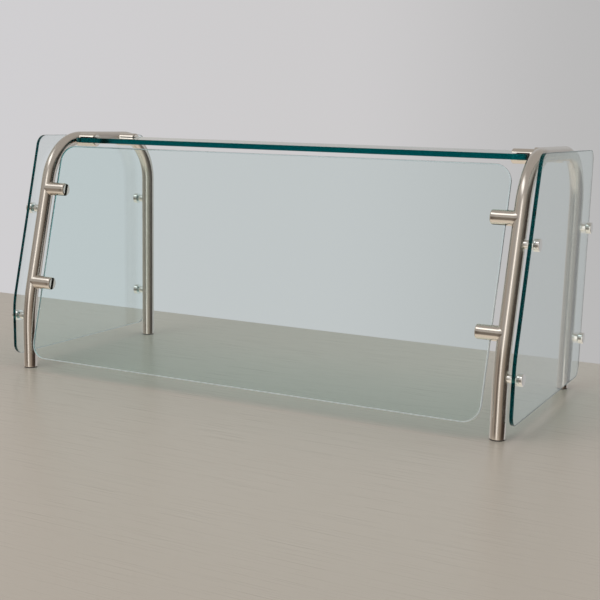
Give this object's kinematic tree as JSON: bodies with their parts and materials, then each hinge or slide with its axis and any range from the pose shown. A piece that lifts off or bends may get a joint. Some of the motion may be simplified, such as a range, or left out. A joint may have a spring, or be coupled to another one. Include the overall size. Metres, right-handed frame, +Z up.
{
  "type": "sneeze guard",
  "caption": "Counter-top food shield: bent tube end hoops clamp a leaning front glass and a flat top glass, with side glasses on round standoffs.",
  "frame": {"origin": "on the counter surface, at the centre of the footprint's bounding box", "axes": "+X along the width towards the right hoop as the customer sees it, +Y to the rear (server's side), +Z up; the leaning glass faces -Y"},
  "size_m": [1.0246, 0.4468, 0.4572],
  "materials": {
    "satin_steel": "satin polished stainless tube, fine grain along the length",
    "polished_steel": "bright polished stainless hardware",
    "clear_glass": "clear float glass, 1/4 inch, ground and polished edges that read dark green",
    "teal_glass": "clear float glass, 3/8 inch, polished edges that read deep teal",
    "black_rubber": "matt black gasket strip and foot pads"
  },
  "bodies": {
    "root": {"hoop_left": "satin_steel", "foot_plug_left_front": "black_rubber", "foot_plug_left_rear": "black_rubber", "front_clamp_left_lower": "satin_steel", "front_clamp_left_lower_gasket": "black_rubber", "front_clamp_left_upper": "satin_steel", "front_clamp_left_upper_gasket": "black_rubber", "top_clamp_left_front": "satin_steel", "top_clamp_left_front_gasket": "black_rubber", "top_clamp_left_rear": "satin_steel", "top_clamp_left_rear_gasket": "black_rubber", "side_glass_left": "clear_glass", "standoff_left_front_lower_spacer": "polished_steel", "standoff_left_front_lower_cap": "polished_steel", "standoff_left_front_lower_stud": "polished_steel", "standoff_left_front_upper_spacer": "polished_steel", "standoff_left_front_upper_cap": "polished_steel", "standoff_left_front_upper_stud": "polished_steel", "standoff_left_rear_lower_spacer": "polished_steel", "standoff_left_rear_lower_cap": "polished_steel", "standoff_left_rear_lower_stud": "polished_steel", "standoff_left_rear_upper_spacer": "polished_steel", "standoff_left_rear_upper_cap": "polished_steel", "standoff_left_rear_upper_stud": "polished_steel", "hoop_right": "satin_steel", "foot_plug_right_front": "black_rubber", "foot_plug_right_rear": "black_rubber", "front_clamp_right_lower": "satin_steel", "front_clamp_right_lower_gasket": "black_rubber", "front_clamp_right_upper": "satin_steel", "front_clamp_right_upper_gasket": "black_rubber", "top_clamp_right_front": "satin_steel", "top_clamp_right_front_gasket": "black_rubber", "top_clamp_right_rear": "satin_steel", "top_clamp_right_rear_gasket": "black_rubber", "side_glass_right": "clear_glass", "standoff_right_front_lower_spacer": "polished_steel", "standoff_right_front_lower_cap": "polished_steel", "standoff_right_front_lower_stud": "polished_steel", "standoff_right_front_upper_spacer": "polished_steel", "standoff_right_front_upper_cap": "polished_steel", "standoff_right_front_upper_stud": "polished_steel", "standoff_right_rear_lower_spacer": "polished_steel", "standoff_right_rear_lower_cap": "polished_steel", "standoff_right_rear_lower_stud": "polished_steel", "standoff_right_rear_upper_spacer": "polished_steel", "standoff_right_rear_upper_cap": "polished_steel", "standoff_right_rear_upper_stud": "polished_steel", "front_glass": "clear_glass", "top_glass": "teal_glass"}
  },
  "joints": []
}
